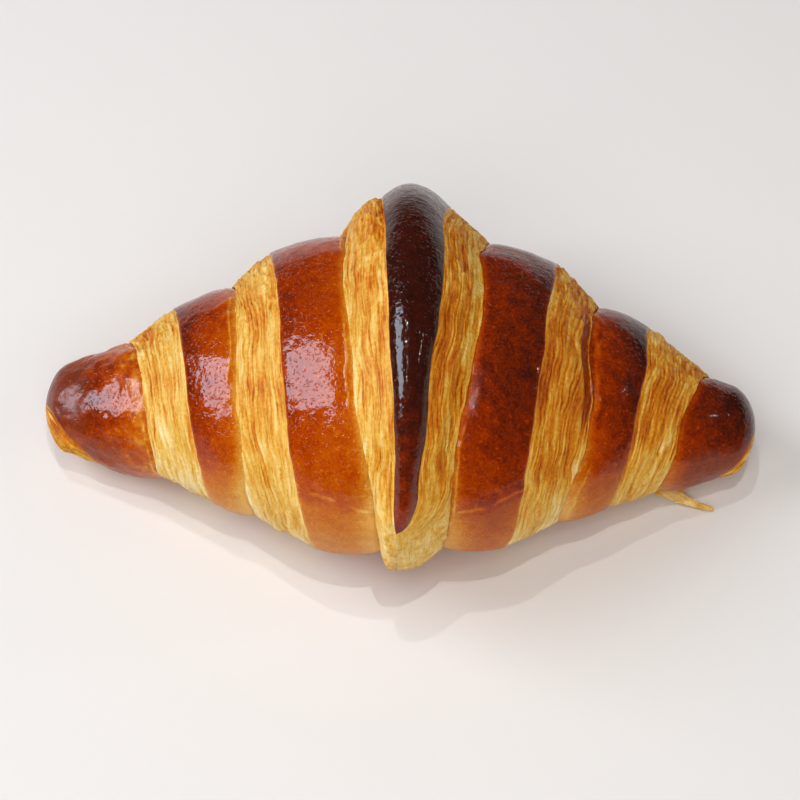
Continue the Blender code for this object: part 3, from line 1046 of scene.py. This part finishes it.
def cut_material():
    nodes = Nodes("cut_layers")
    place = nodes.add("ShaderNodeTexCoord").outputs["Object"]
    across = nodes.value("across")
    length = nodes.value("along")
    tone = nodes.value("tone")
    streaks = []
    bands = []
    for over, down, change in CUT_STREAKS:
        stretched = nodes.vector(
            nodes.math("MULTIPLY", across, over),
            nodes.math("MULTIPLY", length, down),
        )
        streak = nodes.noise(stretched, 1.0, detail=3.0, roughness=0.6)
        streaks.append(streak)
        bands.append(nodes.span(streak, 0.34, 0.66, -change, change))
    grain = nodes.noise(place, 1250.0, detail=3.0, roughness=0.6)
    grained = nodes.span(grain, 0.32, 0.68, -CUT_GRAIN, CUT_GRAIN)
    pattern = nodes.math("ADD", *bands)
    tone = nodes.math("ADD", tone, nodes.math("MULTIPLY", pattern, nodes.value("texture")))
    tone = nodes.math("ADD", tone, grained, clamp=True)
    nodes.put(nodes.colors(tone, CUT_COLORS), nodes.shader.inputs["Base Color"])
    dry = nodes.math("MULTIPLY", nodes.span(grain, 0.3, 0.7, 0.32, 0.55), nodes.value("dull"))
    nodes.put(nodes.math("ADD", dry, GLAZE_ROUGHNESS), nodes.shader.inputs["Roughness"])
    layered = nodes.bump(streaks[0], distance=0.0005, strength=0.7)
    fibrous = nodes.bump(streaks[1], distance=0.0003, strength=0.7, normal=layered)
    grainy = nodes.bump(grain, distance=0.00025, strength=0.7, normal=fibrous)
    nodes.put(grainy, nodes.shader.inputs["Normal"])
    nodes.shader.inputs["IOR"].default_value = CUT_IOR
    return nodes.material


PAPER_COLOR = (232, 229, 227)
PAPER_ROUGHNESS = 0.8


def paper_material():
    nodes = Nodes("paper")
    nodes.shader.inputs["Base Color"].default_value = (*linear(PAPER_COLOR), 1.0)
    nodes.shader.inputs["Roughness"].default_value = PAPER_ROUGHNESS
    return nodes.material


# ---------------- stage, light and camera
def look_at(thing, target):
    direction = Vector(np.asarray(target, float) - np.asarray(thing.location, float))
    thing.rotation_euler = direction.to_track_quat("-Z", "Y").to_euler()


def direction_of(azimuth, elevation):
    """Unit vector. Azimuth 0 is towards the viewer and 90 to the right."""
    a = math.radians(azimuth)
    e = math.radians(elevation)
    return np.array([math.sin(a) * math.cos(e), -math.cos(a) * math.cos(e), math.sin(e)])


# name, azimuth, elevation, distance, width, height, light it gives a surface facing it, colour,
# and whether it shows in soft light, and as a reflection
LIGHTS = (
    ("window", -97.0, 41.0, 1.20, 0.75, 0.63, 0.60, (0.95, 0.97, 1.0), True, False),
    ("pane", -94.0, 45.0, 1.20, 0.74, 0.76, 1.65, (0.72, 0.82, 0.95), False, True),
    ("lamp_back", -143.0, 79.0, 1.00, 0.008, 0.008, 0.11, (1.0, 0.98, 0.95), True, True),
    ("lamp_front", 24.0, 83.0, 1.00, 0.008, 0.008, 0.16, (1.0, 0.98, 0.95), True, True),
    ("lamp_right", 100.0, 30.0, 0.90, 0.03, 0.03, 0.03, (1.0, 0.98, 0.95), True, True),
    ("ceiling", -6.0, 68.0, 0.75, 0.41, 0.34, 0.20, (1.0, 0.99, 0.98), True, False),
    ("fill_front", -8.0, 44.0, 0.80, 0.80, 0.33, 0.26, (1.0, 0.99, 0.97), True, False),
    ("bounce", -8.0, 9.0, 0.80, 0.90, 0.22, 0.08, (1.0, 0.74, 0.48), True, False),
    ("fill_right", 80.0, 40.0, 1.20, 0.80, 0.60, 0.08, (1.0, 0.99, 0.97), True, False),
    ("fill_back", 180.0, 40.0, 1.20, 1.00, 0.60, 0.04, (1.0, 0.99, 0.98), True, False),
)
WORLD_COLOR = (0.96, 0.97, 1.0)
WORLD_STRENGTH = 0.04
FLOOR_HALF = 3.0

TARGET_HEIGHT = 24.0
CAMERA_DISTANCE = 0.520
CAMERA_AZIMUTH = 1.86
CAMERA_ELEVATION = 60.84
PAN_RIGHT = -0.00058
PAN_UP = -0.00188
SEEN_WIDTH = 0.18405  # of what lies at the target's distance
SENSOR_WIDTH = 36.0


def add_light(light_values, target):
    name, azimuth, elevation, distance, width, height, given, color, soft, mirrored = light_values
    light = bpy.data.lights.new(name, "AREA")
    light.shape = "RECTANGLE"
    light.size = width
    light.size_y = height
    light.energy = given * (math.pi * distance) ** 2
    light.color = color
    lamp = bpy.data.objects.new(name, light)
    lamp.location = target + direction_of(azimuth, elevation) * distance
    lamp.visible_diffuse = soft
    lamp.visible_glossy = mirrored
    bpy.context.scene.collection.objects.link(lamp)
    look_at(lamp, target)


def make_stage(target):
    half = FLOOR_HALF
    corners = [(-half, -half, 0), (half, -half, 0), (half, half, 0), (-half, half, 0)]
    mesh = bpy.data.meshes.new("floor")
    mesh.from_pydata(corners, [], [(0, 1, 2, 3)])
    mesh.materials.append(paper_material())
    floor = bpy.data.objects.new("floor", mesh)
    bpy.context.scene.collection.objects.link(floor)

    world = bpy.data.worlds.new("studio")
    world.use_nodes = True
    background = world.node_tree.nodes["Background"]
    background.inputs["Color"].default_value = (*WORLD_COLOR, 1.0)
    background.inputs["Strength"].default_value = WORLD_STRENGTH
    bpy.context.scene.world = world
    for light_values in LIGHTS:
        add_light(light_values, target)


def make_camera(target):
    back = direction_of(CAMERA_AZIMUTH, CAMERA_ELEVATION)
    right = np.cross([0, 0, 1.0], back)
    right /= np.linalg.norm(right)
    up = np.cross(back, right)
    aim = target + (PAN_RIGHT * right + PAN_UP * up)
    data = bpy.data.cameras.new("camera")
    data.sensor_width = SENSOR_WIDTH
    data.lens = SENSOR_WIDTH * CAMERA_DISTANCE / SEEN_WIDTH
    data.clip_start = 0.01
    camera = bpy.data.objects.new("camera", data)
    bpy.context.scene.collection.objects.link(camera)
    camera.location = aim + back * CAMERA_DISTANCE
    look_at(camera, aim)
    bpy.context.scene.camera = camera


def smooth_bounds():
    """Lowest and highest corner of the smooth shape, in its own millimetres."""
    turn = np.arange(0, 4 * 360, 1.0)
    points = [surface(np.zeros_like(turn), turn, SKIN_BULGE)]
    for side in (-1, 1):
        x = np.minimum(half_turns(SKIN_EDGE[side], turn), HALF)
        points.append(surface(side * x, turn, half_turns(CREST_RISE[side], turn)))
    points = np.concatenate(points)
    low = points.min(axis=0)
    high = points.max(axis=0)
    low[0] = -HALF
    high[0] = HALF
    return low, high


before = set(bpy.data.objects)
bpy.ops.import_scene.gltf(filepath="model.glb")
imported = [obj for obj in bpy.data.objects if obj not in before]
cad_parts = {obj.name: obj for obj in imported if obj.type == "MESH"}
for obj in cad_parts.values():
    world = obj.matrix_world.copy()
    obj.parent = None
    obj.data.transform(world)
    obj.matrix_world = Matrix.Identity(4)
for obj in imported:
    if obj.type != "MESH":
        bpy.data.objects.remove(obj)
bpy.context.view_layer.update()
box_low, box_high = (np.array(corner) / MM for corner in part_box("croissant"))
low, high = smooth_bounds()
shift = (box_low + box_high) / 2 - (low + high) / 2
shift[2] = box_low[2]

skin = skin_material()
cut = cut_material()


def add_piece(name, mesh):
    mesh.materials.append(skin)
    mesh.materials.append(cut)
    piece = bpy.data.objects.new(name, mesh)
    bpy.context.scene.collection.objects.link(piece)
    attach(piece, "root")
    return piece


tongue = add_piece("tongue", build_tongue(shift))
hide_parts("croissant")
for side, word in ((-1, "left"), (1, "right")):
    for name, *numbers in ARMS:
        mesh = build_arm(name, side, *numbers, shift)
        add_piece(f"{name}_{word}", mesh)

add_piece("flake", build_flake(shift))

target = (shift + np.array([0, 0, TARGET_HEIGHT])) * MM
make_stage(target)
make_camera(target)
bpy.context.scene.view_settings.view_transform = "Standard"
